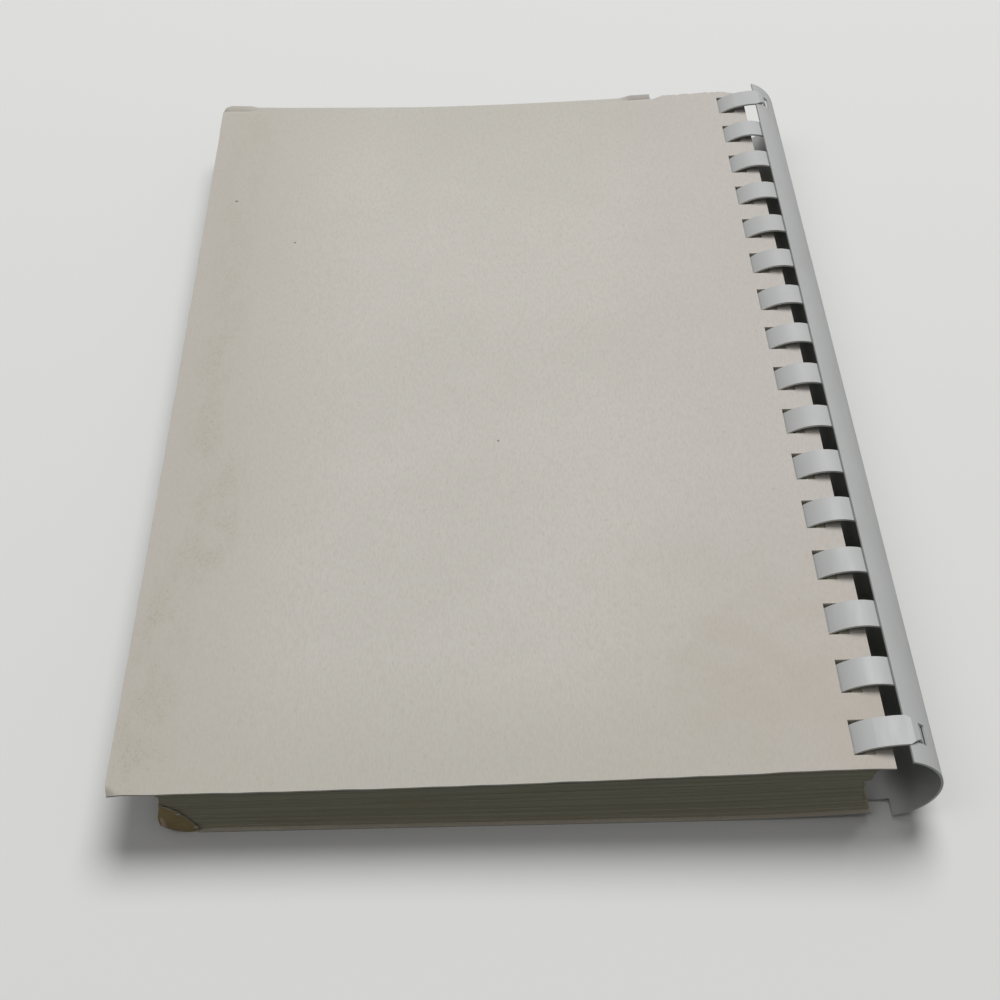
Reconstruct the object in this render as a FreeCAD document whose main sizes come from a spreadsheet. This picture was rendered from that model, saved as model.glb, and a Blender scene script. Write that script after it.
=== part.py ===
import FreeCAD, Part
import math
import os
import Sketcher

# A comb-bound book lying face down. X runs from the fore edge to the comb, Y along
# the comb and Z up. The origin is under the middle of the book, on the table.

SIZES = {
    # Back cover, which lies on top: it sags over the leaves and rises to the comb.
    "cover_length": 228.6,
    "cover_width": 152.4,
    "cover_card": 0.45,
    "edge_past_axis": 0.4,
    "fore_height": 15.0,
    "sag_depth": 1.0,
    "shoulder_height": 18.5,
    "hump_run": 22.4,
    "hump_depth": 0.21,
    "binding_height": 18.95,
    # Wear on its far edge: a nick with one steep side, and the corner at the comb worn off.
    "nick_from_comb": 27.0,
    "nick_width": 3.6,
    "nick_depth": 1.7,
    "worn_corner_run": 6.0,
    "worn_corner_depth": 2.2,
    # Front cover, which lies on the table: narrower, and lifted where the comb passes under it.
    "front_inset": 8.8,
    "front_ramp": 38.4,
    "front_lift": 1.8,
    "front_edge_back": 2.0,
    # Torn flap of the front cover's corner, folded up against the leaves.
    "flap_run": 7.2,
    "flap_rise": 10.6,
    "flap_lean": 0.9,
    "flap_card": 0.3,
    # Punched holes, one for each finger of the comb.
    "hole_pitch": 14.2875,
    "hole_length": 8.0,
    "hole_width": 4.0,
    "hole_margin": 3.3,
    "front_hole_back": 4.3,
    # Leaves: one block with a hollowed binding side, a little short of the covers.
    "leaf_gap": 0.2,
    "leaf_inset": 0.6,
    "leaf_trim": 0.5,
    "top_leaf_back": 1.6,
    "bottom_leaf_back": 2.4,
    "leaf_bow": 2.6,
    "channel_inside": 0.6,
    "channel_outside": 1.4,
    "channel_low_angle": 100.0,
    "channel_high_angle": 260.0,
    # Comb: a curved spine band with sixteen curled fingers.
    "band_radius": 10.9,
    "band_half_angle": 72.5,
    "comb_wall": 0.5,
    "finger_width": 6.6,
    "finger_tip_angle": 48.0,
    "finger_tip_gap": 0.15,
    "root_overlap_angle": 6.5,
    # The two end fingers widen out, pass over the band and dip through a slit in it.
    "climb_angle": 106.0,
    "landing_angle": 67.0,
    "over_gap": 0.1,
    "dip_angle": 60.0,
    "tongue_angle": 47.0,
    "tongue_sink": 0.4,
    "tongue_chamfer": 1.3,
    "tongue_chamfer_run": 2.0,
    "slit_spare_angle": 0.8,
    "slit_spare_length": 0.4,
}

HALF_TURN = 180
FULL_TURN = 2 * HALF_TURN

doc = FreeCAD.newDocument("comb_bound_book")
sheet = doc.addObject("Spreadsheet::Sheet", "Sizes")
for row, (name, number) in enumerate(SIZES.items(), start=1):
    sheet.set(f"A{row}", name)
    sheet.set(f"B{row}", str(number))
    sheet.setAlias(f"B{row}", name)
doc.recompute()


class Size:
    """A length or angle that keeps its formula in the sheet's names beside its number."""

    def __init__(self, text, number):
        self.text = text
        self.number = number

    def __add__(self, other):
        other = as_size(other)
        return Size(f"({self.text} + {other.text})", self.number + other.number)

    def __radd__(self, other):
        return as_size(other) + self

    def __sub__(self, other):
        other = as_size(other)
        return Size(f"({self.text} - {other.text})", self.number - other.number)

    def __rsub__(self, other):
        return as_size(other) - self

    def __mul__(self, other):
        other = as_size(other)
        return Size(f"({self.text} * {other.text})", self.number * other.number)

    def __rmul__(self, other):
        return as_size(other) * self

    def __truediv__(self, other):
        other = as_size(other)
        return Size(f"({self.text} / {other.text})", self.number / other.number)

    def __neg__(self):
        return 0 - self


def as_size(value):
    if isinstance(value, Size):
        return value
    return Size(f"({value})" if value < 0 else str(value), float(value))


def cell(name):
    return Size(f"Sizes.{name}", float(sheet.get(name)))


def whole(size):
    return Size(f"floor({size.text})", math.floor(size.number))


def cosine(angle):
    return Size(f"cos({angle.text})", math.cos(math.radians(angle.number)))


def sine(angle):
    return Size(f"sin({angle.text})", math.sin(math.radians(angle.number)))


def polar(centre, radius, angle):
    return centre[0] + radius * cosine(angle), centre[1] + radius * sine(angle)


def bow_radius(rise, chord_squared):
    """Radius of an arc that rises by so much over a chord whose square is given."""
    return chord_squared / (8 * rise) + rise / 2


# Overall layout, measured from the comb's axis.
length = cell("cover_length")
card = cell("cover_card")
total_width = cell("cover_width") - cell("edge_past_axis") + cell("band_radius")
fore_x = -total_width / 2
binding_x = fore_x + cell("cover_width")
band_centre = (binding_x - cell("edge_past_axis"), cell("band_radius"))
# A cut of this length, half of it above the table's plane, goes right through the book.
through = 4 * cell("binding_height")

# As many whole holes as the cover's length takes, in a row about its middle.
hole_count = whole((length - cell("hole_length")) / cell("hole_pitch")) + 1
hole_run = (hole_count - 1) * cell("hole_pitch")
first_hole_y = -hole_run / 2

# The fingers leave the band's lower edge on a smaller circle, whose centre is moved
# towards that edge just far enough for their tips to pass inside the band.
root_angle = -cell("band_half_angle")
tuck = cell("comb_wall") + cell("finger_tip_gap")
finger_shift = tuck / (1 - cosine(cell("band_half_angle") + cell("finger_tip_angle")))
finger_centre = polar(band_centre, finger_shift, root_angle)
finger_radius = cell("band_radius") - finger_shift
finger_inner = finger_radius - cell("comb_wall")


def new_body(label):
    body = doc.addObject("PartDesign::Body", label)
    body.Label = label
    doc.recompute()
    return body


def origin_feature(body, role):
    for feature in body.Origin.OriginFeatures:
        if feature.Role == role:
            return feature
    raise ValueError(role)


def new_sketch(body, name, plane, lift=None):
    sketch = body.newObject("Sketcher::SketchObject", name)
    sketch.AttachmentSupport = [(origin_feature(body, plane), "")]
    sketch.MapMode = "FlatFace"
    if lift is not None:
        sketch.setExpression(".AttachmentOffset.Base.z", lift.text)
    return sketch


def arc_between(start, end, radius, left_turn, long_way=False):
    """The arc from start to end, and whether it runs from its own first point."""
    chord = end - start
    half = chord.Length / 2
    away = math.sqrt(max(radius**2 - half**2, 0.0))
    side = FreeCAD.Vector(-chord.y, chord.x, 0).normalize()
    if left_turn == long_way:
        side = side * -1
    centre = (start + end) / 2 + side * away
    circle = Part.Circle(centre, FreeCAD.Vector(0, 0, 1), radius)
    angles = [math.atan2(p.y - centre.y, p.x - centre.x) for p in (start, end)]
    if not left_turn:
        angles.reverse()
    if angles[1] < angles[0]:
        angles[1] += 2 * math.pi
    return Part.ArcOfCircle(circle, *angles)


def outline(sketch, corners):
    """A closed outline. Each corner is (x, y, edge) with the edge that leaves it:
    None for a straight line, or (radius, left_turn, long_way) for an arc."""
    points = [FreeCAD.Vector(x.number, y.number, 0) for x, y, edge in corners]
    ends = []
    for index, (x, y, edge) in enumerate(corners):
        start = points[index]
        end = points[(index + 1) % len(points)]
        if edge is None:
            shape = Part.LineSegment(start, end)
            first, last = 1, 2
        else:
            radius, left_turn, long_way = edge
            shape = arc_between(start, end, radius.number, left_turn, long_way)
            first, last = (1, 2) if left_turn else (2, 1)
        ends.append((sketch.addGeometry(shape, False), first, last))
    for index, (geometry, first, last) in enumerate(ends):
        following = ends[(index + 1) % len(ends)]
        sketch.addConstraint(Sketcher.Constraint("Coincident", geometry, last, following[0], following[1]))
    for (geometry, first, last), (x, y, edge) in zip(ends, corners):
        for kind, size in (("DistanceX", x), ("DistanceY", y)):
            place = Sketcher.Constraint(kind, -1, 1, geometry, first, size.number)
            bind(sketch, sketch.addConstraint(place), size)
        if edge is not None:
            place = Sketcher.Constraint("Radius", geometry, edge[0].number)
            bind(sketch, sketch.addConstraint(place), edge[0])


def bind(sketch, index, size):
    sketch.setExpression(f"Constraints[{index}]", size.text)


def pad(body, sketch, name, thickness):
    feature = body.newObject("PartDesign::Pad", name)
    feature.Profile = sketch
    feature.Midplane = True
    feature.setExpression("Length", thickness.text)
    return feature


def pocket(body, sketch, name, depth):
    """A cut that goes the same way on both sides of its sketch."""
    feature = body.newObject("PartDesign::Pocket", name)
    feature.Profile = sketch
    feature.Midplane = True
    feature.setExpression("Length", depth.text)
    return feature


def row_along_comb(body, feature, name, count, run):
    """Repeats a feature along the comb and makes the row the body's result."""
    row = body.newObject("PartDesign::LinearPattern", name)
    row.Originals = [feature]
    row.Direction = (origin_feature(body, "Y_Axis"), [""])
    row.setExpression("Length", run.text)
    row.setExpression("Occurrences", count.text)
    body.Tip = row
    doc.recompute()
    return row


def rectangle(low_x, low_y, high_x, high_y):
    return [(low_x, low_y, None), (high_x, low_y, None), (high_x, high_y, None), (low_x, high_y, None)]


# The back cover's upper face: a long shallow sag, then a short hump near the comb.
sag_run = cell("cover_width") - cell("hump_run")
sag_end_x = fore_x + sag_run
sag_rise = cell("shoulder_height") - cell("fore_height")
sag_radius = bow_radius(cell("sag_depth"), sag_run * sag_run + sag_rise * sag_rise)
hump_rise = cell("binding_height") - cell("shoulder_height")
hump_chord_squared = cell("hump_run") * cell("hump_run") + hump_rise * hump_rise
hump_radius = bow_radius(cell("hump_depth"), hump_chord_squared)


def back_cover_line(drop):
    """The back cover's upper face, lowered by drop, from the fore edge to the comb."""
    return [
        (fore_x, cell("fore_height") - drop, (sag_radius, True, False)),
        (sag_end_x, cell("shoulder_height") - drop, (hump_radius, False, False)),
        (binding_x, cell("binding_height") - drop, None),
    ]


# The front cover's lower face: flat on the table, then a slow rise to the comb.
front_x = fore_x + cell("front_inset")
front_end_x = binding_x - cell("front_edge_back")
ramp_x = front_end_x - cell("front_ramp")
ramp_radius = cell("front_ramp") * cell("front_ramp") / (2 * cell("front_lift")) + cell("front_lift") / 2


def front_cover_line(lift, low_x, high_lift):
    """The front cover's lower face, raised by lift, from low_x to its binding edge."""
    return [
        (low_x, lift, None),
        (ramp_x, lift, (ramp_radius, True, False)),
        (front_end_x, cell("front_lift") + lift, None),
        (front_end_x, cell("front_lift") + high_lift, None),
    ]


def reversed_line(line):
    """The same run of corners the other way round, each arc turning the other way."""
    corners = []
    for index in range(len(line) - 1, 0, -1):
        edge = line[index - 1][2]
        if edge is not None:
            edge = (edge[0], not edge[1], edge[2])
        corners.append((line[index][0], line[index][1], edge))
    corners.append((line[0][0], line[0][1], None))
    return corners


def punch_holes(body, high_x):
    """The row of oblong holes, whose sides nearest the comb stand at high_x."""
    sketch = new_sketch(body, body.Label + "_hole_outline", "XY_Plane")
    half = cell("hole_length") / 2
    outline(sketch, rectangle(high_x - cell("hole_width"), first_hole_y - half, high_x, first_hole_y + half))
    hole = pocket(body, sketch, body.Label + "_hole", through)
    row_along_comb(body, hole, body.Label + "_holes", hole_count, hole_run)


def make_back_cover():
    body = new_body("back_cover")
    sketch = new_sketch(body, "back_cover_profile", "XZ_Plane")
    outline(sketch, back_cover_line(card) + reversed_line(back_cover_line(as_size(0))))
    pad(body, sketch, "back_cover_card", length)
    # The nick stands open at the far edge.
    far_y = length / 2
    nick_x = binding_x - cell("nick_from_comb")
    sketch = new_sketch(body, "nick_outline", "XY_Plane")
    outline(sketch, [
        (nick_x, far_y + card, None),
        (nick_x, far_y - cell("nick_depth"), None),
        (nick_x + cell("nick_width"), far_y + card, None),
    ])
    pocket(body, sketch, "nick", through)
    # The far corner at the comb is worn off at a slant.
    corner_x = binding_x - cell("worn_corner_run")
    sketch = new_sketch(body, "worn_corner_outline", "XY_Plane")
    outline(sketch, [
        (corner_x, far_y, None),
        (binding_x, far_y - cell("worn_corner_depth"), None),
        (binding_x + card, far_y - cell("worn_corner_depth"), None),
        (binding_x + card, far_y + card, None),
        (corner_x, far_y + card, None),
    ])
    pocket(body, sketch, "worn_corner", through)
    punch_holes(body, binding_x - cell("hole_margin"))
    return body


def make_front_cover():
    body = new_body("front_cover")
    sketch = new_sketch(body, "front_cover_profile", "XZ_Plane")
    lower = front_cover_line(as_size(0), front_x, card)
    upper = reversed_line(front_cover_line(card, front_x, card)[:3])
    outline(sketch, lower[:3] + upper)
    pad(body, sketch, "front_cover_card", length)
    punch_holes(body, binding_x - cell("front_hole_back"))
    # The torn corner stands on the near edge, in front of the leaves.
    near_y = -length / 2
    sketch = new_sketch(body, "corner_flap_outline", "XZ_Plane", -(near_y + cell("flap_card") / 2))
    outline(sketch, [
        (front_x, as_size(0), None),
        (front_x + cell("flap_run"), as_size(0), None),
        (front_x + cell("flap_run"), card, None),
        (front_x + cell("flap_lean"), cell("flap_rise"), None),
        (front_x, cell("flap_rise") - cell("flap_lean"), None),
    ])
    body.Tip = pad(body, sketch, "corner_flap", cell("flap_card"))
    return body


def make_text_block():
    body = new_body("text_block")
    low_x = front_x + cell("leaf_inset")
    block_length = length - 2 * cell("leaf_trim")
    under_back = card + cell("leaf_gap")
    top_z = cell("binding_height") + card
    # A plain block with the hollow binding side, taller than the stack on both sides.
    bottom_x = binding_x - cell("bottom_leaf_back")
    top_x = binding_x - cell("top_leaf_back")
    step_x = top_x - bottom_x
    bow = bow_radius(cell("leaf_bow"), top_z * top_z + step_x * step_x)
    sketch = new_sketch(body, "text_block_profile", "XZ_Plane")
    outline(sketch, [
        (low_x, as_size(0), None),
        (bottom_x, as_size(0), (bow, False, False)),
        (top_x, top_z, None),
        (low_x, top_z, None),
    ])
    pad(body, sketch, "leaves", block_length)
    # The top follows the back cover's underside, and the bottom the front cover.
    spare = 2 * card
    above = top_z + spare
    sketch = new_sketch(body, "under_back_cover", "XZ_Plane")
    outline(sketch, back_cover_line(under_back) + [(binding_x, above, None), (fore_x, above, None)])
    pocket(body, sketch, "top_of_leaves", length)
    sketch = new_sketch(body, "over_front_cover", "XZ_Plane")
    lift = card + cell("leaf_gap")
    lower = reversed_line(front_cover_line(lift, front_x, lift)[:3])
    outline(sketch, [(front_x, -spare, None), (front_end_x, -spare, None)] + lower)
    pocket(body, sketch, "bottom_of_leaves", length)
    # Curved channels for the fingers: the holes of the leaves, one above the other.
    inner = finger_inner - cell("channel_inside")
    outer = finger_radius + cell("channel_outside")
    low_angle = cell("channel_low_angle")
    high_angle = cell("channel_high_angle")
    sketch = new_sketch(body, "channel_outline", "XZ_Plane", -first_hole_y)
    outline(sketch, ring_part(finger_centre, inner, outer, low_angle, high_angle))
    channel = pocket(body, sketch, "channel", cell("hole_length"))
    row_along_comb(body, channel, "channels", hole_count, hole_run)
    return body


def ring_part(centre, inner, outer, low_angle, high_angle):
    """The outline of a piece of a ring, from one angle round to the other."""
    long_way = high_angle.number - low_angle.number > HALF_TURN
    return [
        polar(centre, outer, low_angle) + ((outer, True, long_way),),
        polar(centre, outer, high_angle) + (None,),
        polar(centre, inner, high_angle) + ((inner, False, long_way),),
        polar(centre, inner, low_angle) + (None,),
    ]


def widening_radius(start, end, angle):
    """Radius of the arc that leaves a circle smoothly at this angle and passes through end."""
    run_x = end[0] - start[0]
    run_y = end[1] - start[1]
    inward = -(run_x * cosine(angle)) - run_y * sine(angle)
    return (run_x * run_x + run_y * run_y) / (2 * inward)


def end_finger_outline():
    """An end finger: round like the others, then out over the band and down into the slit."""
    wall = cell("comb_wall")
    over = cell("band_radius") + cell("over_gap")
    root = root_angle + cell("root_overlap_angle") + FULL_TURN
    tongue = cell("band_radius") - wall - cell("tongue_sink")
    climb = cell("climb_angle")
    long_way = root.number - climb.number > HALF_TURN
    outer_start = polar(finger_centre, finger_radius, climb)
    inner_start = polar(finger_centre, finger_inner, climb)
    outer_end = polar(band_centre, over + wall, cell("landing_angle"))
    inner_end = polar(band_centre, over, cell("landing_angle"))
    outer_radius = widening_radius(outer_start, outer_end, climb)
    inner_radius = widening_radius(inner_start, inner_end, climb)
    return [
        outer_start + ((finger_radius, True, long_way),),
        polar(finger_centre, finger_radius, root) + (None,),
        polar(finger_centre, finger_inner, root) + ((finger_inner, False, long_way),),
        inner_start + ((inner_radius, False, False),),
        inner_end + ((over, False, False),),
        polar(band_centre, over, cell("dip_angle")) + (None,),
        polar(band_centre, tongue - wall / 2, cell("tongue_angle")) + (None,),
        polar(band_centre, tongue + wall / 2, cell("tongue_angle")) + (None,),
        polar(band_centre, over + wall, cell("dip_angle")) + ((over + wall, True, False),),
        outer_end + ((outer_radius, True, False),),
    ]


def make_end_fingers():
    """The two end fingers by themselves, their tongues cut narrower at the corners."""
    body = new_body("end_fingers")
    sketch = new_sketch(body, "end_finger_profile", "XZ_Plane", -first_hole_y)
    outline(sketch, end_finger_outline())
    finger = pad(body, sketch, "end_finger", cell("finger_width"))
    # Each corner is cut off at a slant, from above, beside the slit.
    chamfer = cell("tongue_chamfer")
    spare = cell("comb_wall")
    reach = cell("band_radius") + cell("over_gap")
    narrow_x = polar(band_centre, reach, cell("dip_angle"))[0]
    chamfer_x = narrow_x - cell("tongue_chamfer_run")
    tip_x = polar(band_centre, reach, cell("tongue_angle"))[0] + spare
    cuts = []
    for side, word in ((-1, "near"), (1, "far")):
        edge_y = first_hole_y + side * cell("finger_width") / 2
        sketch = new_sketch(body, word + "_corner_outline", "XY_Plane", band_centre[1] + reach)
        corners = [
            (chamfer_x, edge_y, None),
            (narrow_x, edge_y - side * chamfer, None),
            (tip_x, edge_y - side * chamfer, None),
            (tip_x, edge_y + side * spare, None),
            (chamfer_x, edge_y + side * spare, None),
        ]
        outline(sketch, corners)
        cuts.append(pocket(body, sketch, word + "_corner", 2 * reach))
    row = row_along_comb(body, finger, "end_finger_row", as_size(2), hole_run)
    row.Originals = [finger] + cuts
    doc.recompute()
    return body


def make_comb():
    end_fingers = make_end_fingers()
    body = new_body("comb")
    wall = cell("comb_wall")
    pitch = cell("hole_pitch")
    # The spine band, as long as the cover.
    band_inner = cell("band_radius") - wall
    sketch = new_sketch(body, "band_profile", "XZ_Plane")
    band = ring_part(band_centre, band_inner, cell("band_radius"), root_angle, cell("band_half_angle"))
    outline(sketch, band)
    pad(body, sketch, "spine_band", length)
    # A slit near each end, for the end finger's tongue.
    sketch = new_sketch(body, "slit_outline", "XZ_Plane", -first_hole_y)
    low = cell("tongue_angle") - cell("slit_spare_angle")
    high = cell("dip_angle") + cell("slit_spare_angle")
    outline(sketch, ring_part(band_centre, band_inner - wall, cell("band_radius") + wall, low, high))
    tongue_width = cell("finger_width") - 2 * cell("tongue_chamfer")
    slit = pocket(body, sketch, "slit", tongue_width + 2 * cell("slit_spare_length"))
    row_along_comb(body, slit, "slits", as_size(2), hole_run)
    # The fingers between the ends, with their tips tucked under the band.
    root = root_angle + cell("root_overlap_angle") + FULL_TURN
    sketch = new_sketch(body, "finger_profile", "XZ_Plane", -(first_hole_y + pitch))
    outline(sketch, ring_part(finger_centre, finger_inner, finger_radius, cell("finger_tip_angle"), root))
    finger = pad(body, sketch, "finger", cell("finger_width"))
    row_along_comb(body, finger, "fingers", hole_count - 2, hole_run - 2 * pitch)
    # The end fingers, outside the band, grow from its lower edge like the others.
    joined = body.newObject("PartDesign::Boolean", "with_end_fingers")
    joined.Type = "Fuse"
    joined.addObject(end_fingers)
    body.Tip = joined
    doc.recompute()
    return body


bodies = [make_back_cover(), make_front_cover(), make_text_block(), make_comb()]
doc.recompute()

for item in doc.Objects:
    if "Invalid" in item.State or "Error" in item.State:
        raise RuntimeError(f"{item.Label} failed: {item.State}")
for body in bodies:
    shape = body.Shape
    if shape.isNull() or not shape.isValid() or len(shape.Solids) != 1:
        raise RuntimeError(f"{body.Label} is not one valid solid")
    box = shape.BoundBox
    corners = [box.XMin, box.YMin, box.ZMin, box.XMax, box.YMax, box.ZMax]
    print(body.Label, round(shape.Volume, 1), "mm3", [round(value, 3) for value in corners])
print("hinge axis", round(finger_centre[0].number, 4), round(finger_centre[1].number, 4))

os.makedirs("parts", exist_ok=True)
for body in bodies:
    body.Shape.exportStep(os.path.join("parts", body.Label + ".step"))
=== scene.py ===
import math
import random

import bmesh
import bpy
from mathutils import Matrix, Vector


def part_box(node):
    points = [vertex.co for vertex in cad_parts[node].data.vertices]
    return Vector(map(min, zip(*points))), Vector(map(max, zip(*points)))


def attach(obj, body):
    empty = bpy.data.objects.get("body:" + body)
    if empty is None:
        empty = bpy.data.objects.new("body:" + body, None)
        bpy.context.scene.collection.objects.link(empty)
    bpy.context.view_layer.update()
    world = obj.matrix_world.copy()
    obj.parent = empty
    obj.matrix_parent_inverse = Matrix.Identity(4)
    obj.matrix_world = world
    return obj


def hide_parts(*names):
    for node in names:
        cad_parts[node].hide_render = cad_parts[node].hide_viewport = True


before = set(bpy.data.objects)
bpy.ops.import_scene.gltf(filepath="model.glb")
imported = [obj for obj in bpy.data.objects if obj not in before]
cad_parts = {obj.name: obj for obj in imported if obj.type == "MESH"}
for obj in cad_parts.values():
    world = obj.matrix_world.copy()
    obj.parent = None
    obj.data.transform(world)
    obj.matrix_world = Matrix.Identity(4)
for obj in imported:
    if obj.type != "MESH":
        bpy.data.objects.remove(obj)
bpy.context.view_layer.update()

MM = 0.001

# The book's own sizes, in millimetres, in the frame's axes: X from the fore edge to the
# comb, Y along the comb, Z up. The edges are read from the frame.
back_low, back_high = (corner / MM for corner in map(Vector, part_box("back_cover")))
front_low, front_high = (corner / MM for corner in map(Vector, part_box("front_cover")))
leaves_low, leaves_high = (corner / MM for corner in map(Vector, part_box("text_block")))

FORE_X = back_low.x
BINDING_X = back_high.x
HALF_LENGTH = back_high.y
CARD = 0.45

# Back cover: height of its upper face.
FORE_HEIGHT = 15.0
SHOULDER_HEIGHT = 18.5
BINDING_HEIGHT = 18.95
SAG_DEPTH = 1.0
HUMP_RUN = 22.4
HUMP_DEPTH = 0.21

# Front cover: flat on the table, then rising to the comb.
FRONT_RAMP = 38.4
FRONT_LIFT = 1.8

# Holes and fingers. The back cover's holes are worn a little wider than the solid's.
HOLE_COUNT = 16
HOLE_PITCH = 2 * HALF_LENGTH / HOLE_COUNT
HOLE_LENGTH = 8.0
HOLE_WIDTH = 4.0
HOLE_WEAR = 0.3
BACK_HOLE_HIGH = BINDING_X - 3.3
FRONT_HOLE_HIGH = BINDING_X - 4.3
AXIS_X = 70.68
AXIS_Z = 10.49
FINGER_MIDDLE_RADIUS = 10.22
LEAF_HOLE_WIDTH = 3.2

# Leaves.
LEAF_GAP = 0.2
LEAF_COUNT = 56
LEAF_SEED = 7
FORE_INSET = 0.35
END_INSET = 0.3

# How the leaves' sides step: the chance of a new step at each leaf, and the step's range.
NEAR_STEP = (0.16, -0.25, 0.2)
BINDING_STEP = (0.2, -0.25, 0.15)
FORE_STEP = (0.15, -0.3, 0.3)

# Their edge beside the comb, from the lowest leaf to the top one, steps out near the top:
# each pair is a share of the height and the distance from the covers' binding edge.
BINDING_SIDE = (
    (0.0, 2.35), (0.05, 2.5), (0.17, 3.4),
    (0.34, 4.1), (0.5, 4.6), (0.68, 5.1),
    (0.70, 3.6), (0.8, 3.5), (1.0, 2.25),
)


def span(low, high, step):
    """Evenly spaced values from low to high, both included, about step apart."""
    count = max(1, round((high - low) / step))
    return [low + (high - low) * index / count for index in range(count + 1)]


def grid_lines(stops, step):
    """The stops, with evenly spaced values between each two of them."""
    values = [stops[0]]
    for low, high in zip(stops, stops[1:]):
        values += span(low, high, step)[1:]
    return values


def through(knots, x):
    """A smooth curve through a few given knots (place, value), level past its ends."""
    if x <= knots[0][0]:
        return knots[0][1]
    if x >= knots[-1][0]:
        return knots[-1][1]
    index = max(i for i, knot in enumerate(knots[:-1]) if knot[0] <= x)

    def slope(i):
        if i in (0, len(knots) - 1):
            return 0.0
        return (knots[i + 1][1] - knots[i - 1][1]) / (knots[i + 1][0] - knots[i - 1][0])

    (x0, y0), (x1, y1) = knots[index], knots[index + 1]
    run = x1 - x0
    t = (x - x0) / run
    return (
        y0 * (1 + 2 * t) * (1 - t) ** 2
        + slope(index) * run * t * (1 - t) ** 2
        + y1 * t * t * (3 - 2 * t)
        - slope(index + 1) * run * t * t * (1 - t)
    )


def hat(x, centre, half_width):
    """1 at the centre, falling evenly to 0 half a width away."""
    return max(0.0, 1.0 - abs(x - centre) / half_width)


def wavy(x, pitch, seed):
    """A smooth ripple between -1 and 1 that doesn't repeat over the book's length."""
    turn = 2 * math.pi * x / pitch + seed
    return (math.sin(turn) + math.sin(1.618 * turn + 1.3 * seed) + math.sin(2.732 * turn + 2.1 * seed)) / 3


def shallow_arc(t, start, end, sag):
    return start + (end - start) * t - 4 * sag * t * (1 - t)


def back_mean_height(x):
    """The back cover's upper face before its edges warp."""
    sag_run = BINDING_X - FORE_X - HUMP_RUN
    u = x - FORE_X
    if u <= sag_run:
        return shallow_arc(u / sag_run, FORE_HEIGHT, SHOULDER_HEIGHT, SAG_DEPTH)
    return shallow_arc((u - sag_run) / HUMP_RUN, SHOULDER_HEIGHT, BINDING_HEIGHT, -HUMP_DEPTH)


# How far the back cover lies above or below that, from the fore edge to the comb.
FAR_WARP = ((0, 1.3), (15, 0.8), (38, 0.2), (62, -0.45), (100, -0.7), (133, -0.6), (145, -0.2), (152, 0))
NEAR_WARP = ((0, 0.2), (57, 0.1), (105, 0.0), (118, -0.15), (134, -0.15), (152, 0))
MIDDLE_WARP = ((0, -0.6), (12, -0.3), (30, 0), (152, 0))


def back_warp(x, y):
    u = x - FORE_X
    t = max(-1.0, min(1.0, y / HALF_LENGTH))
    near, middle, far = (through(knots, u) for knots in (NEAR_WARP, MIDDLE_WARP, FAR_WARP))
    return near * t * (t - 1) / 2 + middle * (1 - t * t) + far * t * (t + 1) / 2


def front_low_height(x):
    """The front cover's lower face."""
    along = max(0.0, x - (front_high.x - FRONT_RAMP))
    return FRONT_LIFT * (along / FRONT_RAMP) ** 2


def hole_lines():
    """The Y of both sides of every hole, from near to far."""
    lines = []
    for index in range(HOLE_COUNT):
        centre = (index - (HOLE_COUNT - 1) / 2) * HOLE_PITCH
        lines += [centre - HOLE_LENGTH / 2, centre + HOLE_LENGTH / 2]
    return lines


def in_hole_row(y):
    """Whether a Y lies beside a hole rather than between two."""
    lines = hole_lines()
    return any(low < y < high for low, high in zip(lines[::2], lines[1::2]))


def finished(name, bm, materials, crease=35):
    """Turns a built mesh, in millimetres, into an object with smooth faces and sharp edges."""
    bmesh.ops.recalc_face_normals(bm, faces=bm.faces)
    bmesh.ops.scale(bm, vec=(MM, MM, MM), verts=bm.verts)
    mesh = bpy.data.meshes.new(name)
    bm.to_mesh(mesh)
    bm.free()
    mesh.shade_smooth()
    mesh.set_sharp_from_angle(angle=math.radians(crease))
    for material in materials:
        mesh.materials.append(material)
    piece = bpy.data.objects.new(name, mesh)
    bpy.context.scene.collection.objects.link(piece)
    return piece


def card_sheet(xs, ys, place, thickness, is_cut):
    """A sheet of card over a grid. Upper face, underside and cut edges are materials 0, 1 and 2."""
    bm = bmesh.new()
    upper = {}
    under = {}
    cells = []
    for i in range(len(xs) - 1):
        for j in range(len(ys) - 1):
            if not is_cut((xs[i] + xs[i + 1]) / 2, (ys[j] + ys[j + 1]) / 2):
                cells.append(((i, j), (i + 1, j), (i + 1, j + 1), (i, j + 1)))
    sides = set()
    for cell in cells:
        for corner in cell:
            if corner not in upper:
                x, y, z = place(xs[corner[0]], ys[corner[1]])
                upper[corner] = bm.verts.new((x, y, z))
                under[corner] = bm.verts.new((x, y, z - thickness))
        bm.faces.new([upper[corner] for corner in cell]).material_index = 0
        bm.faces.new([under[corner] for corner in reversed(cell)]).material_index = 1
        sides.update(zip(cell, cell[1:] + cell[:1]))
    for start, end in sides:
        if (end, start) not in sides:
            bm.faces.new((upper[end], upper[start], under[start], under[end])).material_index = 2
    return bm


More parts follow.
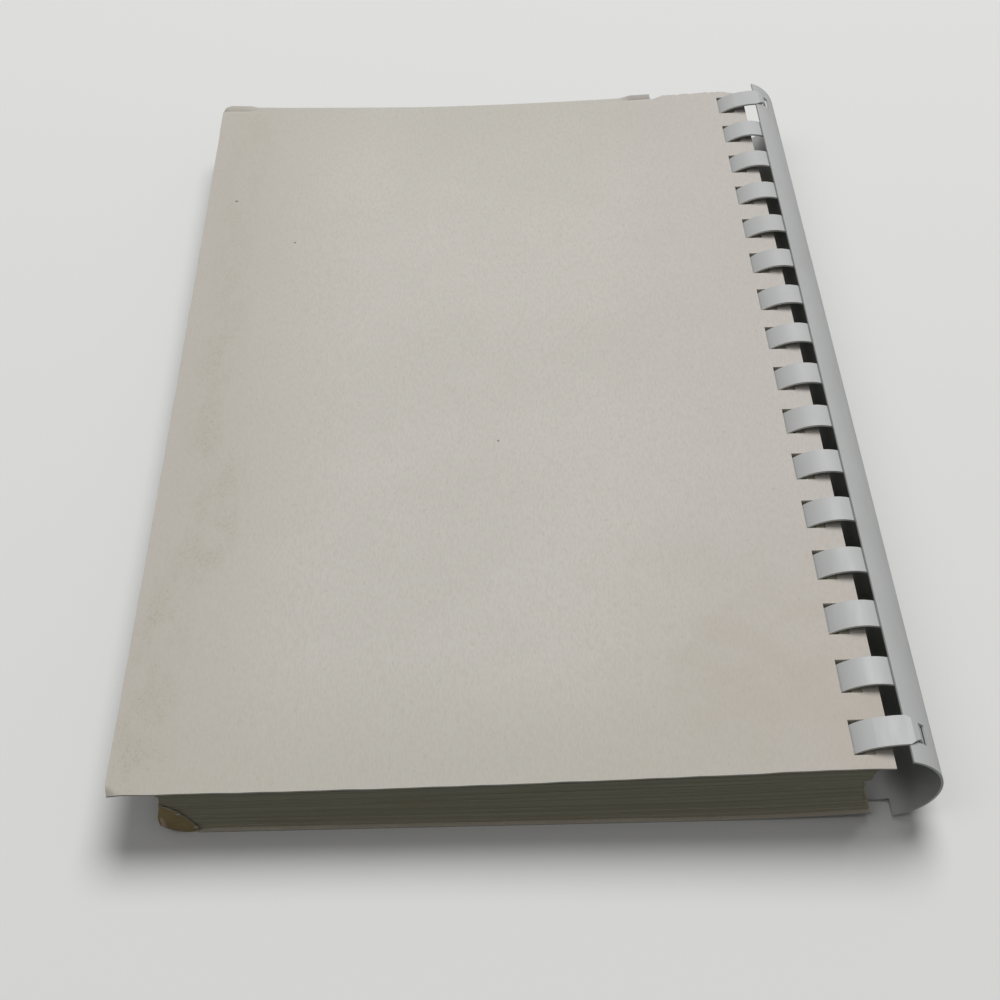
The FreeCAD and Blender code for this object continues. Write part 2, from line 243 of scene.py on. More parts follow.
class Shader:
    """Short calls that build one material's nodes."""

    def __init__(self, name, **sockets):
        self.material = bpy.data.materials.new(name)
        self.material.use_nodes = True
        self.nodes = self.material.node_tree.nodes
        self.links = self.material.node_tree.links
        self.surface = self.nodes["Principled BSDF"]
        self.coordinates = self.nodes.new("ShaderNodeTexCoord").outputs["Object"]
        for socket, value in sockets.items():
            self.surface.inputs[socket.replace("_", " ")].default_value = value

    def node(self, kind, inputs=(), **settings):
        node = self.nodes.new(kind)
        for key, value in settings.items():
            setattr(node, key, value)
        for socket, value in dict(inputs).items():
            if isinstance(value, bpy.types.NodeSocket):
                self.links.new(value, node.inputs[socket])
            else:
                node.inputs[socket].default_value = value
        return node

    def stretched(self, x, y, z):
        """Object coordinates in millimetres, each divided by its own size of feature."""
        scale = (1 / (MM * x), 1 / (MM * y), 1 / (MM * z))
        return self.node("ShaderNodeMapping", {"Vector": self.coordinates, "Scale": scale}).outputs["Vector"]

    def noise(self, sizes, detail, roughness=0.6):
        inputs = {"Vector": self.stretched(*sizes), "Scale": 1.0, "Detail": detail, "Roughness": roughness}
        return self.node("ShaderNodeTexNoise", inputs).outputs["Fac"]

    def ramp(self, value, low, high, start=0.0, end=1.0):
        """value from low to high becomes start to end, and stays there past them."""
        inputs = {"Value": value, "From Min": low, "From Max": high, "To Min": start, "To Max": end}
        return self.node("ShaderNodeMapRange", inputs, interpolation_type="SMOOTHSTEP").outputs["Result"]

    def math(self, operation, first, second=0.0):
        return self.node("ShaderNodeMath", {0: first, 1: second}, operation=operation).outputs["Value"]

    def blend(self, amount, first, second):
        """The first colour at amount 0, the second at amount 1."""
        return self.node("ShaderNodeMix", {0: amount, 6: first, 7: second}, data_type="RGBA").outputs[2]

    def place(self):
        """The X, Y and Z of a point, in millimetres."""
        scaled = self.node("ShaderNodeVectorMath", {0: self.coordinates, "Scale": 1 / MM}, operation="SCALE")
        return self.node("ShaderNodeSeparateXYZ", {0: scaled.outputs[0]}).outputs

    def colour(self, value):
        self.links.new(value, self.surface.inputs["Base Color"])

    def bump(self, height, depth, strength):
        inputs = {"Height": height, "Distance": depth * MM, "Strength": strength}
        node = self.node("ShaderNodeBump", inputs)
        self.links.new(node.outputs["Normal"], self.surface.inputs["Normal"])


def rgb(red, green, blue):
    return (red, green, blue, 1.0)


def back_card_material():
    """Blank back of the cover: warm grey card with painted shade along its edges, and faintly foxed."""
    shader = Shader("back_card", Roughness=0.8, Specular_IOR_Level=0.25)
    x, y, _ = shader.place()
    flat = shader.node("ShaderNodeCombineXYZ", {0: x, 1: y}).outputs[0]

    def away_from(u, v):
        """Distance from a place given from the fore edge and the near edge."""
        point = (FORE_X + u, v - HALF_LENGTH, 0.0)
        return shader.node("ShaderNodeVectorMath", {0: flat, 1: point}, operation="DISTANCE").outputs["Value"]

    def tinted(base, amount, colour):
        return shader.blend(amount, base, rgb(*colour))

    clouds = shader.noise((45, 38, 45), 3.0)
    base = shader.blend(shader.ramp(clouds, 0.35, 0.65), rgb(0.540, 0.520, 0.474), rgb(0.560, 0.539, 0.493))
    # Painted shade: darker towards the fore edge and the near and far ends, where less light falls.
    base = tinted(base, shader.ramp(x, FORE_X, FORE_X + 48, 0.9, 0.0), (0.478, 0.450, 0.402))
    base = tinted(base, shader.ramp(y, -HALF_LENGTH, -80, 0.75, 0.0), (0.475, 0.456, 0.400))
    base = tinted(base, shader.ramp(y, 70, HALF_LENGTH, 0.0, 0.5), (0.488, 0.470, 0.416))
    base = tinted(base, shader.ramp(x, BINDING_X - 50, BINDING_X - 6, 0.0, 0.6), (0.525, 0.484, 0.458))
    # Tan bloom towards the near end of the comb.
    blotches = shader.ramp(shader.noise((10, 8, 10), 4.0), 0.35, 0.65, 0.55, 1.0)
    for u, v, inner, outer, share, colour in (
        (140, 22, 2, 62, 0.75, (0.489, 0.449, 0.390)),
        (124, 25, 0, 22, 0.30, (0.462, 0.412, 0.348)),
        (147, 12, 0, 20, 0.30, (0.472, 0.420, 0.355)),
    ):
        amount = shader.math("MULTIPLY", shader.ramp(away_from(u, v), inner, outer, share, 0.0), blotches)
        base = tinted(base, amount, colour)
    # Foxing: fine olive grains in a wandering band beside the fore edge.
    middle = shader.math("SUBTRACT", shader.ramp(y, -76, -46, 5.3, 14.5), shader.ramp(y, -42, -8, 0.0, 4.8))
    wander = shader.math("SUBTRACT", shader.math("SUBTRACT", x, FORE_X), middle)
    band = shader.ramp(shader.math("ABSOLUTE", wander), 1.5, 9.0, 1.0, 0.0)
    band = shader.math("MULTIPLY", band, shader.ramp(y, -60, 60, 1.0, 0.5))
    patches = shader.ramp(shader.noise((5, 12, 5), 3.0), 0.40, 0.62, 0.15, 1.0)
    grains = shader.ramp(shader.noise((0.45, 0.7, 0.45), 2.0), 0.52, 0.70)
    haze = shader.math("MULTIPLY", band, patches)
    base = tinted(base, shader.math("MULTIPLY", haze, 0.30), (0.430, 0.400, 0.325))
    specks = shader.math("MULTIPLY", shader.math("MULTIPLY", haze, grains), 0.55)
    base = tinted(base, specks, (0.33, 0.30, 0.215))
    # Fine grains everywhere, short fibres along the book, and three dark specks.
    fibres = shader.noise((0.35, 1.5, 0.35), 3.0)
    base = tinted(base, shader.ramp(fibres, 0.36, 0.60, 0.30, 0.0), (0.43, 0.40, 0.355))
    dust = shader.ramp(shader.noise((1.1, 1.3, 1.1), 3.0, 0.7), 0.60, 0.72, 0.0, 0.38)
    base = tinted(base, dust, (0.42, 0.37, 0.30))
    for u, v, size in ((7.9, 184.7, 0.55), (25.2, 166.4, 0.45), (78.0, 91.0, 0.4)):
        base = tinted(base, shader.ramp(away_from(u, v), 0.4 * size, size, 0.7, 0.0), (0.10, 0.09, 0.07))
    shader.colour(base)
    shader.bump(shader.noise((0.4, 0.5, 0.4), 4.0), 0.05, 0.3)
    return shader.material


def cut_card_material():
    """The cut edge of card: paler fibres."""
    shader = Shader("cut_card_edge", Roughness=0.9, Specular_IOR_Level=0.2)
    fibres = shader.noise((0.6, 0.6, 0.12), 3.0)
    shader.colour(shader.blend(shader.ramp(fibres, 0.3, 0.7), rgb(0.54, 0.52, 0.46), rgb(0.68, 0.66, 0.60)))
    shader.bump(fibres, 0.05, 0.5)
    return shader.material


def inner_card_material():
    """The inner face of a cover: plain cream card."""
    shader = Shader("inner_card", Roughness=0.85, Specular_IOR_Level=0.25)
    clouds = shader.noise((25, 25, 25), 4.0)
    fibres = shader.noise((0.5, 0.9, 0.5), 3.0)
    base = shader.blend(shader.ramp(clouds, 0.35, 0.65), rgb(0.53, 0.48, 0.39), rgb(0.60, 0.56, 0.47))
    base = shader.blend(shader.ramp(fibres, 0.35, 0.6, 0.2, 0.0), base, rgb(0.42, 0.37, 0.30))
    shader.colour(base)
    shader.bump(fibres, 0.04, 0.3)
    return shader.material


def torn_card_material():
    """Torn card: pinkish tan fibres."""
    shader = Shader("torn_card", Roughness=0.9, Specular_IOR_Level=0.2)
    fibres = shader.noise((0.7, 0.7, 0.3), 4.0)
    shader.colour(shader.blend(shader.ramp(fibres, 0.35, 0.65), rgb(0.52, 0.36, 0.26), rgb(0.72, 0.56, 0.44)))
    shader.bump(fibres, 0.08, 0.5)
    return shader.material


def front_card_material():
    """The outside of the front cover: plain golden brown, scuffed."""
    shader = Shader("front_card", Roughness=0.6, Specular_IOR_Level=0.35)
    clouds = shader.noise((9, 9, 9), 5.0)
    base = shader.blend(shader.ramp(clouds, 0.3, 0.7), rgb(0.30, 0.215, 0.095), rgb(0.42, 0.315, 0.150))
    streaks = shader.ramp(shader.noise((6, 6, 1.1), 4.0), 0.5, 0.68, 0.0, 0.5)
    base = shader.blend(streaks, base, rgb(0.20, 0.155, 0.080))
    scuffs = shader.ramp(shader.noise((1.2, 3.5, 1.2), 5.0, 0.7), 0.6, 0.72, 0.0, 0.45)
    base = shader.blend(scuffs, base, rgb(0.55, 0.46, 0.32))
    shader.colour(base)
    shader.bump(clouds, 0.1, 0.3)
    return shader.material


def leaf_edge_material():
    """The cut edges of the leaves: cream paper in fine layers, some of them darker, the cream set darker as
    partly painted shade.
    """
    shader = Shader("leaf_edges", Roughness=0.9, Specular_IOR_Level=0.2)
    layer = shader.node("ShaderNodeAttribute", attribute_name="layer").outputs["Fac"]
    x, y, _ = shader.place()
    along = shader.math("MULTIPLY", shader.math("ADD", x, y), 0.015)

    def layers(count):
        across = shader.math("MULTIPLY", layer, count)
        place = shader.node("ShaderNodeCombineXYZ", {0: across, 1: along}).outputs[0]
        inputs = {"Vector": place, "Scale": 1.0, "Detail": 2.0}
        return shader.node("ShaderNodeTexNoise", inputs).outputs["Fac"]

    fine = layers(170.0)
    groups = layers(22.0)
    # Partly painted shade: the cream is set darker than the paper, for the shade on the leaves' near face.
    base = shader.blend(shader.ramp(groups, 0.35, 0.65), rgb(0.360, 0.345, 0.260), rgb(0.440, 0.420, 0.325))
    base = shader.blend(shader.ramp(fine, 0.36, 0.6, 0.30, 0.0), base, rgb(0.26, 0.24, 0.17))
    # The lowest leaves are painted paler, painted light where more light reaches them, with a light one among
    # them.
    base = shader.blend(shader.ramp(layer, 0.10, 0.24, 0.45, 0.0), base, rgb(0.56, 0.52, 0.40))
    light_leaf = shader.math("ABSOLUTE", shader.math("SUBTRACT", layer, 0.205))
    base = shader.blend(shader.ramp(light_leaf, 0.004, 0.012, 0.6, 0.0), base, rgb(0.66, 0.63, 0.52))
    stains = shader.ramp(shader.noise((14, 14, 6), 4.0), 0.5, 0.75, 0.0, 0.3)
    shader.colour(shader.blend(stains, base, rgb(0.34, 0.29, 0.19)))
    shader.bump(fine, 0.10, 0.5)
    return shader.material


def page_material():
    """A blank page: uncoated paper, yellowed towards its edges."""
    shader = Shader("page", Roughness=0.88, Specular_IOR_Level=0.2)
    x, y, _ = shader.place()
    rim_x = shader.ramp(shader.math("ABSOLUTE", x), 50, 70)
    rim_y = shader.ramp(shader.math("ABSOLUTE", y), 95, 114)
    rim = shader.math("MAXIMUM", rim_x, rim_y)
    clouds = shader.noise((30, 30, 30), 4.0)
    base = shader.blend(shader.ramp(clouds, 0.35, 0.65), rgb(0.66, 0.63, 0.55), rgb(0.70, 0.67, 0.59))
    base = shader.blend(shader.math("MULTIPLY", rim, 0.6), base, rgb(0.58, 0.52, 0.40))
    shader.colour(base)
    shader.bump(shader.noise((0.3, 0.3, 0.3), 3.0), 0.02, 0.3)
    return shader.material


def comb_material():
    """Moulded comb: pale grey plastic with a satin gloss, and a painted highlight on the cut faces that face
    along the comb.
    """
    shader = Shader("comb_plastic", IOR=1.49, Specular_IOR_Level=0.38)
    clouds = shader.noise((16, 24, 16), 3.0)
    base = shader.blend(shader.ramp(clouds, 0.3, 0.7), rgb(0.438, 0.446, 0.440), rgb(0.462, 0.470, 0.465))
    # Painted highlight: faces that face along the comb, the cut sides of the fingers, are coloured lighter
    # for their bright rims.
    facing = shader.node("ShaderNodeTexCoord").outputs["Normal"]
    along = shader.node("ShaderNodeSeparateXYZ", {0: facing}).outputs["Y"]
    cut = shader.ramp(shader.math("ABSOLUTE", along), 0.8, 0.95, 0.0, 0.8)
    shader.colour(shader.blend(cut, base, rgb(0.66, 0.68, 0.66)))
    rough = shader.ramp(shader.noise((1.5, 9, 1.5), 4.0), 0.3, 0.7, 0.40, 0.52)
    shader.links.new(rough, shader.surface.inputs["Roughness"])
    shader.bump(shader.noise((2.5, 5, 2.5), 2.0), 0.03, 0.12)
    return shader.material


# Wear of the back cover's far edge, by distance from the fore edge: a strip that stands up,
# torn off at the nick, then small flakes, and the worn corner.
STRIP_START = 116.5
STRIP_END = 125.4
STRIP_DEPTH = 1.4
STRIP_RISE = 0.75
STRIP_FOLD = 0.15
STRIP_RUN_UP = 3.0
TEAR_WIDTH = 0.12
NICK_BOTTOM = 126.0
NICK_HIGH = 129.2
NICK_DEPTH = 1.7
FLAKE_DEPTH = 0.22
FLAKE_RISE = 0.18
WORN_CORNER_START = 146.0
WORN_CORNER_DEPTH = 2.2

# Wear of its other edges and of its corners at the fore edge.
EDGE_RUN = 4.0
EDGE_WANDER = 0.08
BLUNT_SIZE = 2.4
FAR_BLUNT_PULL = 0.9
NEAR_BLUNT_PULL = 0.3
NEAR_BEND_START = 2.3
NEAR_BEND_SLOPE = 0.4
FAR_CREASE_END = 8.6
FAR_CREASE_RISE = 0.35
FAR_CREASE_DIP = 0.22


def far_edge_offset(u):
    """How far the back cover's far edge stands back from its line."""
    offset = 0.10 + EDGE_WANDER * wavy(u, 9.0, 0.4)
    if u > NICK_HIGH:
        offset += FLAKE_DEPTH * abs(wavy(u, 4.2, 1.9))
    if u > WORN_CORNER_START:
        share = (u - WORN_CORNER_START) / (BINDING_X - FORE_X - WORN_CORNER_START)
        offset += WORN_CORNER_DEPTH * share**1.4
    if STRIP_END <= u <= NICK_BOTTOM:
        offset += NICK_DEPTH * (u - STRIP_END) / (NICK_BOTTOM - STRIP_END)
    elif NICK_BOTTOM < u < NICK_HIGH:
        offset += NICK_DEPTH * (NICK_HIGH - u) / (NICK_HIGH - NICK_BOTTOM)
    return offset


def back_cover_place(x, y):
    """Where a point of the flat back cover lies, with its warp and its worn edges."""
    u = x - FORE_X
    from_far = HALF_LENGTH - y
    from_near = y + HALF_LENGTH
    shift_x = EDGE_WANDER * (1 + wavy(y, 31.0, 0.7)) * max(0.0, 1 - u / EDGE_RUN)
    shift_y = -far_edge_offset(u) * max(0.0, 1 - from_far / EDGE_RUN)
    shift_y += EDGE_WANDER * (1 + wavy(u, 23.0, 2.2)) * max(0.0, 1 - from_near / EDGE_RUN)
    # Blunted corners at the fore edge.
    for away in (from_far, from_near):
        if u < BLUNT_SIZE and away < BLUNT_SIZE:
            pull = (1 - u / BLUNT_SIZE) * (1 - away / BLUNT_SIZE)
            pull *= NEAR_BLUNT_PULL if away is from_near else FAR_BLUNT_PULL
            shift_x += pull
            shift_y += pull if away is from_near else -pull
    z = back_mean_height(x) + back_warp(x, y)
    # The near corner is bent down, the far one is creased along the edge.
    z -= NEAR_BEND_SLOPE * max(0.0, NEAR_BEND_START - 0.8 * u - 1.1 * from_near)
    if u < FAR_CREASE_END:
        z += FAR_CREASE_RISE * max(0.0, 1 - from_far / 1.8) - FAR_CREASE_DIP * hat(from_far, 2.0, 0.7)
    # A strip of the far edge stands up before the nick.
    if STRIP_START < u <= STRIP_END:
        rise = STRIP_RISE * max(0.0, 1 - from_far / STRIP_DEPTH)
        fold = STRIP_FOLD * hat(from_far, STRIP_DEPTH, 0.5)
        z += min(1.0, (u - STRIP_START) / STRIP_RUN_UP) * (rise - fold)
    if u > NICK_HIGH:
        z += FLAKE_RISE * wavy(u, 5.0, 0.9) * max(0.0, 1 - from_far / 1.5)
    return x + shift_x, y + shift_y, z


def make_back_cover(card, inner, edge):
    hole_high = BACK_HOLE_HIGH
    hole_low = hole_high - HOLE_WIDTH - HOLE_WEAR
    stops = (STRIP_START, STRIP_END, STRIP_END + TEAR_WIDTH, NICK_BOTTOM, NICK_HIGH)
    worn = [FORE_X + stop for stop in stops]
    xs = grid_lines([FORE_X, FORE_X + 3], 0.5)
    xs += grid_lines([FORE_X + 3, FORE_X + 10, worn[0]], 2.0)[1:]
    xs += grid_lines(worn + [hole_low], 0.6)[1:]
    xs += grid_lines([hole_low, hole_high, BINDING_X], 0.9)[1:]
    ys = grid_lines([-HALF_LENGTH, -HALF_LENGTH + 3], 0.5)
    ys += grid_lines([-HALF_LENGTH + 3] + hole_lines()[1:-1] + [HALF_LENGTH - 3], 2.2)[1:]
    ys += grid_lines([HALF_LENGTH - 3, HALF_LENGTH], 0.35)[1:]
    ys = sorted(set(ys + [hole_lines()[0], hole_lines()[-1]]))

    def is_hole(x, y):
        return hole_low < x < hole_high and in_hole_row(y)

    bm = card_sheet(xs, ys, back_cover_place, CARD, is_hole)
    piece = finished("back_cover_sheet", bm, [card, inner, edge])
    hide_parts("back_cover")
    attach(piece, "back")


# Torn corner of the front cover, folded up against the near face of the leaves. Its outline,
# in X from the cover's fore edge and Z: the free slanted side, the left side, and the curled
# lower side. Its outer face lies a little inside the part's near side.
FLAP_RUN = 7.4
FOLD_DEPTH = 2.6
FLAP_CARD = 0.2
FLAP_TOP = 10.4
FLAP_SIDE = ((0.0, 7.4), (1.9, 7.2), (5.1, 5.7), (7.2, 4.5), (8.8, 3.2), (10.4, 1.3))
FLAP_LEFT = ((0.0, 0.5), (3.4, 0.02), (6.0, 0.1), (10.4, 0.95))
FLAP_LOW = ((0.0, 2.9), (1.1, 1.7), (3.5, 0.55), (7.4, 0.05))
FLAP_INSET = 0.24
FLAP_BULGE = 0.10
FLAP_RIPPLE = 0.05

# The curl at its left: X and Z of its lower and its upper side, each from left to right.
CURL_LOW = ((0.35, 3.0), (1.35, 2.1))
CURL_HIGH = ((0.55, 6.1), (1.35, 5.6))
CURL_CARD = 0.1
CURL_INSET = 0.12
CURL_BULGE = 0.10
CURL_WANDER = 0.12

# The torn flecks on its free side: X, Z, width and height.
FLECKS = ((4.35, 7.35, 0.8, 0.55), (7.0, 2.1, 0.9, 0.8))
FLECK_CARD = 0.08
FLECK_INSET = 0.10
FLECK_LEAN = 0.06


def front_cover_place(x, y):
    """Where the upper face of the front cover lies. The corner that is folded up is missing."""
    u = x - front_low.x
    from_near = y + HALF_LENGTH
    cut = FOLD_DEPTH * max(0.0, 1 - u / FLAP_RUN)
    reach = 2 * FOLD_DEPTH
    if from_near < reach:
        y += cut * (1 - from_near / reach)
    return x, y, front_low_height(x) + CARD


def make_front_cover(card, inner, edge):
    hole_high = FRONT_HOLE_HIGH
    hole_low = hole_high - HOLE_WIDTH
    xs = grid_lines([front_low.x, front_low.x + FLAP_RUN, hole_low], 1.85)
    xs += grid_lines([hole_low, hole_high, front_high.x], 1.0)[1:]
    ys = grid_lines([-HALF_LENGTH] + hole_lines() + [HALF_LENGTH], 3.0)

    def is_hole(x, y):
        return hole_low < x < hole_high and in_hole_row(y)

    bm = card_sheet(xs, ys, front_cover_place, CARD, is_hole)
    piece = finished("front_cover_sheet", bm, [inner, card, edge])
    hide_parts("front_cover")
    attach(piece, "front")


def flap_point(s, t):
    """A point of the flap's outer face. s runs from its left side, t from its lower side."""
    x = 0.0
    for _ in range(8):
        low = through(FLAP_LOW, x)
        z = low + (FLAP_TOP - low) * t
        left, right = through(FLAP_LEFT, z), through(FLAP_SIDE, z)
        x = left + (right - left) * s
    bulge = FLAP_BULGE * math.sin(math.pi * s) * (1 - 0.5 * t) + FLAP_RIPPLE * wavy(s + t, 0.6, 1.1)
    ripple = FLAP_RIPPLE * wavy(t, 0.35, 0.3) * s
    return Vector((front_low.x + x + ripple, -HALF_LENGTH + FLAP_INSET - bulge, z))


def curl_point(s, t):
    """A point of the curl's outer face, from the same two sides."""
    low, high = (
        [start + (end - start) * s for start, end in zip(*side)] for side in (CURL_LOW, CURL_HIGH)
    )
    x, z = (start + (end - start) * t for start, end in zip(low, high))
    y = -HALF_LENGTH + CURL_INSET - CURL_BULGE * math.sin(math.pi * s)
    return Vector((front_low.x + x + CURL_WANDER * wavy(t, 0.7, 0.8), y, z))


def fleck_outline(x, z, width, height):
    """The outer face of a fleck, a leaning shape that narrows upwards."""

    def fleck_point(s, t):
        across = width * ((s - 0.5) * (1 - 0.4 * t) + 0.4 * (t - 0.5))
        up = height * (t - 0.5 - 0.2 * s)
        y = -HALF_LENGTH + FLECK_INSET - FLECK_LEAN * t
        return Vector((front_low.x + x + across, y, z + up))

    return fleck_point


def torn_sheet(name, outer, thickness, stops, materials):
    """A thin loose sheet from a square grid of outer points, with its inner face behind them."""
    bm = bmesh.new()
    front = [[bm.verts.new(outer(s, t)) for s in stops] for t in stops]
    back = [[bm.verts.new(outer(s, t) + Vector((0, thickness, 0))) for s in stops] for t in stops]
    last = len(stops) - 1
    for i in range(last):
        for j in range(last):
            cell = ((i, j), (i, j + 1), (i + 1, j + 1), (i + 1, j))
            bm.faces.new([front[a][b] for a, b in cell]).material_index = 0
            bm.faces.new([back[a][b] for a, b in reversed(cell)]).material_index = 1
    rim = [(0, j) for j in range(last)] + [(i, last) for i in range(last)]
    rim += [(last, j) for j in range(last, 0, -1)] + [(i, 0) for i in range(last, 0, -1)]
    for (a, b), (c, d) in zip(rim, rim[1:] + rim[:1]):
        bm.faces.new((front[c][d], front[a][b], back[a][b], back[c][d])).material_index = 2
    piece = finished(name, bm, materials, crease=50)
    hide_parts("front_cover")
    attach(piece, "front")


def make_flap(card, inner, edge):
    """The folded corner, the curl of torn card at its left and two torn flecks on its side."""
    torn_sheet("front_cover_torn_corner", flap_point, FLAP_CARD, span(0, 1, 0.06), [card, inner, edge])
    torn_sheet("front_cover_curl", curl_point, CURL_CARD, span(0, 1, 0.2), [inner, inner, edge])
    for number, fleck in enumerate(FLECKS, start=1):
        name = f"front_cover_fleck_{number}"
        torn_sheet(name, fleck_outline(*fleck), FLECK_CARD, span(0, 1, 0.5), [edge, edge, edge])


def leaf_top(x, y):
    """The upper face of the top leaf, just under the back cover."""
    warp = back_warp(x, y)
    return back_mean_height(x) + min(warp, 0.4 * warp) - CARD - LEAF_GAP


def leaf_bottom(x):
    return front_low_height(x) + CARD + LEAF_GAP


def leaf_height(x, y, share):
    """The height of the boundary between leaves that has that share of them below it."""
    low = leaf_bottom(x)
    return low + (leaf_top(x, y) - low) * share


def leaf_hole_x(share):
    """Where a finger passes a leaf, found by going back and forth between circle and leaf."""
    x = AXIS_X - FINGER_MIDDLE_RADIUS
    for _ in range(12):
        drop = leaf_height(x, 0.0, share) - AXIS_Z
        x = AXIS_X - math.sqrt(max(1.0, FINGER_MIDDLE_RADIUS**2 - drop * drop))
    return x


def binding_edge_x(share):
    """The leaves' edge beside the comb: hollowed, with the top leaves a step ahead."""
    for (low, start), (high, end) in zip(BINDING_SIDE, BINDING_SIDE[1:]):
        if share <= high:
            return BINDING_X - start - (end - start) * (share - low) / (high - low)
    return BINDING_X - BINDING_SIDE[-1][1]


def make_leaves(edges, page):
    """The leaves as one block whose sides step in and out leaf by leaf."""
    shuffle = random.Random(LEAF_SEED)
    thickness = [shuffle.uniform(0.5, 1.6) for _ in range(LEAF_COUNT)]
    total = sum(thickness)
    shares = [0.0]
    for value in thickness:
        shares.append(shares[-1] + value / total)
    shares[-1] = 1.0
    hole_ys = hole_lines()
    land_count = 24
    ts = span(0.0, 1.0, 1 / land_count)
    # Columns: land_count spans before the holes, then the hole and the margin.
    columns = land_count + 3
    bands = len(hole_ys) + 2

    def line_x(i, share, fore, binding):
        hole = leaf_hole_x(share)
        low, high = hole - LEAF_HOLE_WIDTH / 2, hole + LEAF_HOLE_WIDTH / 2
        if i <= land_count:
            return fore + (low - fore) * ts[i]
        return high if i == land_count + 1 else binding

    def line_y(j, near, far):
        if j == 0:
            return near
        if j == bands - 1:
            return far
        return hole_ys[j - 1]

    bm = bmesh.new()
    layer = bm.verts.layers.float.new("layer")
    ring = [(i, 0) for i in range(columns - 1)] + [(columns - 1, j) for j in range(bands - 1)]
    ring += [(i, bands - 1) for i in range(columns - 1, 0, -1)] + [(0, j) for j in range(bands - 1, 0, -1)]
    loops = [ring]
    for j in range(1, bands - 1, 2):
        loops.append([(land_count, j), (land_count, j + 1), (land_count + 1, j + 1), (land_count + 1, j)])
    hole_cells = {(land_count, j) for j in range(1, bands - 1, 2)}

    def stepped(value, chance, low, high):
        """The same value or, by chance, a new one."""
        return shuffle.uniform(low, high) if shuffle.random() < chance else value

    levels = []
    step_fore = step_near = step_bind = 0.0
    for low_share, high_share in zip(shares, shares[1:]):
        step_near = stepped(step_near, *NEAR_STEP)
        step_bind = stepped(step_bind, *BINDING_STEP)
        step_fore = stepped(step_fore, *FORE_STEP)
        fore = leaves_low.x + FORE_INSET + step_fore + shuffle.uniform(-0.06, 0.06)
        near = leaves_low.y + END_INSET - step_near + shuffle.uniform(-0.05, 0.05)
        far = leaves_high.y - END_INSET - step_fore + shuffle.uniform(-0.05, 0.05)
        binding = binding_edge_x((low_share + high_share) / 2) + step_bind + shuffle.uniform(-0.08, 0.08)
        for share in (low_share, high_share):
            levels.append((share, fore, near, far, binding))

    def vertex(level, i, j):
        share, fore, near, far, binding = level
        x = line_x(i, share, fore, binding)
        y = line_y(j, near, far)
        vert = bm.verts.new((x, y, leaf_height(x, y, share)))
        vert[layer] = share
        return vert

    for number, loop in enumerate(loops):
        rows = []
        for index, level in enumerate(levels):
            if number and index % 2:
                continue
            rows.append([vertex(level, i, j) for i, j in loop])
        if number:
            rows.append([vertex(levels[-1], i, j) for i, j in loop])
        for low, high in zip(rows, rows[1:]):
            for a in range(len(loop)):
                b = (a + 1) % len(loop)
                bm.faces.new((low[a], low[b], high[b], high[a])).material_index = 0
    for level, flip in ((levels[0], True), (levels[-1], False)):
        face_verts = {}
        for i in range(columns - 1):
            for j in range(bands - 1):
                if (i, j) in hole_cells:
                    continue
                corners = [(i, j), (i + 1, j), (i + 1, j + 1), (i, j + 1)]
                for corner in corners:
                    if corner not in face_verts:
                        face_verts[corner] = vertex(level, *corner)
                verts = [face_verts[corner] for corner in corners]
                bm.faces.new(reversed(verts) if flip else verts).material_index = 1
    bmesh.ops.remove_doubles(bm, verts=bm.verts, dist=0.0005)
    piece = finished("leaves_block", bm, [edges, page], crease=25)
    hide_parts("text_block")
    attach(piece, "leaves")


def dress_comb(material):
    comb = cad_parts["comb"]
    comb.data.materials.clear()
    comb.data.materials.append(material)


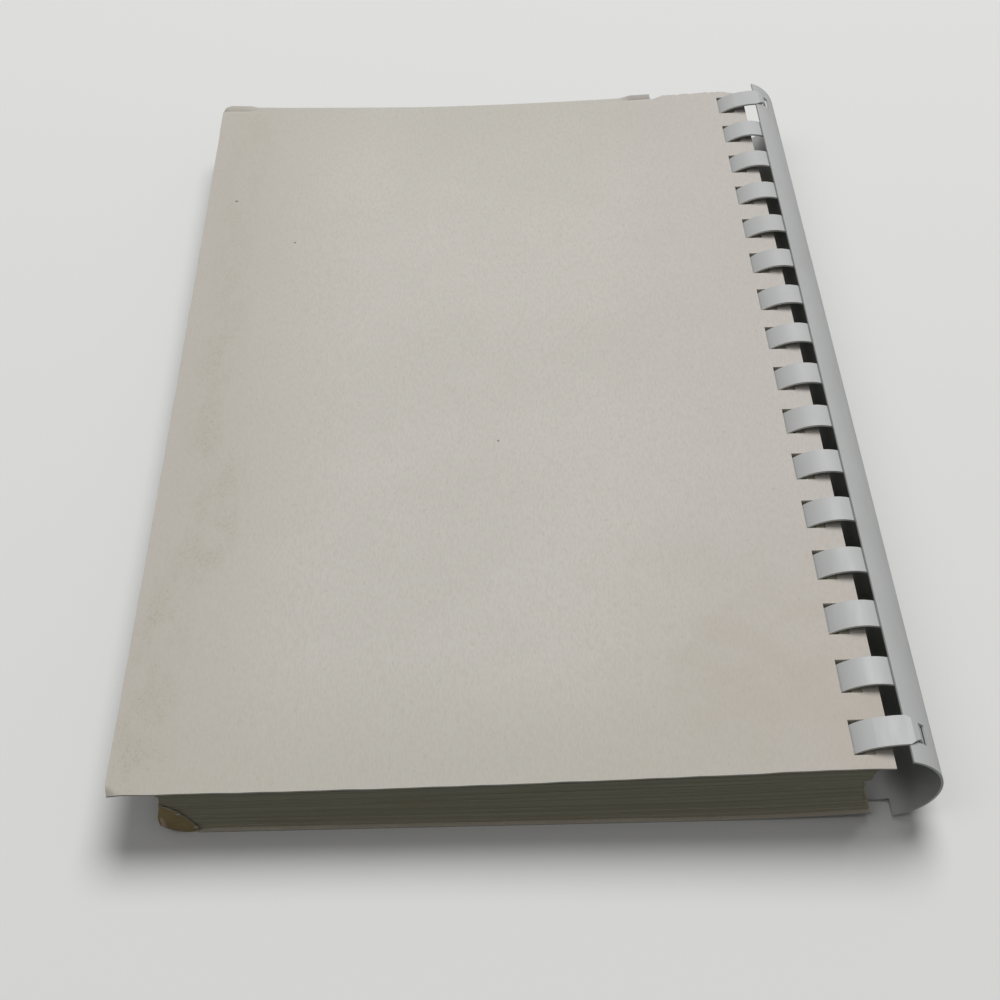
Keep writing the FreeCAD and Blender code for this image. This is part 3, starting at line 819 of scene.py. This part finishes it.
def make_stage():
    """A plain floor: pale to look at, darker in the light that it sends back to the book."""
    mesh = bpy.data.meshes.new("floor")
    bm = bmesh.new()
    bmesh.ops.create_grid(bm, x_segments=1, y_segments=1, size=3.0)
    bm.to_mesh(mesh)
    bm.free()
    floor = bpy.data.objects.new("floor", mesh)
    bpy.context.scene.collection.objects.link(floor)
    shader = Shader("floor_paper", Roughness=0.9, Specular_IOR_Level=0.1, Base_Color=rgb(0.72, 0.72, 0.71))
    darker = shader.node("ShaderNodeBsdfDiffuse", {"Color": rgb(0.16, 0.17, 0.16)})
    rays = shader.node("ShaderNodeLightPath").outputs
    seen = shader.math("MAXIMUM", rays["Is Camera Ray"], rays["Is Glossy Ray"])
    seen = shader.math("MAXIMUM", seen, rays["Is Transmission Ray"])
    mix = shader.node("ShaderNodeMixShader", {0: seen})
    shader.links.new(darker.outputs[0], mix.inputs[1])
    shader.links.new(shader.surface.outputs[0], mix.inputs[2])
    shader.links.new(mix.outputs[0], shader.nodes["Material Output"].inputs["Surface"])
    mesh.materials.append(shader.material)


def add_lamp(name, place, target, size, power):
    data = bpy.data.lights.new(name, "AREA")
    data.shape = "DISK"
    data.size = size
    data.energy = power
    lamp = bpy.data.objects.new(name, data)
    lamp.location = place
    lamp.rotation_euler = (Vector(target) - Vector(place)).to_track_quat("-Z", "Y").to_euler()
    bpy.context.scene.collection.objects.link(lamp)


def light_scene():
    world = bpy.data.worlds.new("studio")
    bpy.context.scene.world = world
    world.use_nodes = True
    background = world.node_tree.nodes["Background"]
    background.inputs["Color"].default_value = rgb(1.0, 1.0, 1.0)
    background.inputs["Strength"].default_value = 0.17
    add_lamp("key", (0.35, 1.1, 2.2), (0, 0, 0), 1.6, 53.0)
    add_lamp("fill", (-1.2, -0.3, 1.8), (0, 0, 0), 1.4, 6.0)


def place_camera():
    """The photograph's viewpoint, found by fitting the comb's pitch and the cover's edges."""
    data = bpy.data.cameras.new("camera")
    data.lens = 52.38
    data.sensor_width = 36.0
    data.clip_start = 0.01
    camera = bpy.data.objects.new("camera", data)
    camera.location = (-0.00716, -0.25714, 0.26267)
    camera.rotation_euler = (math.radians(41.165), math.radians(0.247), math.radians(-1.27))
    bpy.context.scene.collection.objects.link(camera)
    bpy.context.scene.camera = camera


def main():
    bpy.context.scene.view_settings.view_transform = "Standard"
    place_camera()
    light_scene()
    make_stage()
    back_card = back_card_material()
    inner_card = inner_card_material()
    cut_card = cut_card_material()
    front_card = front_card_material()
    make_back_cover(back_card, inner_card, cut_card)
    make_front_cover(front_card, inner_card, cut_card)
    make_flap(front_card, torn_card_material(), cut_card)
    make_leaves(leaf_edge_material(), page_material())
    dress_comb(comb_material())


main()
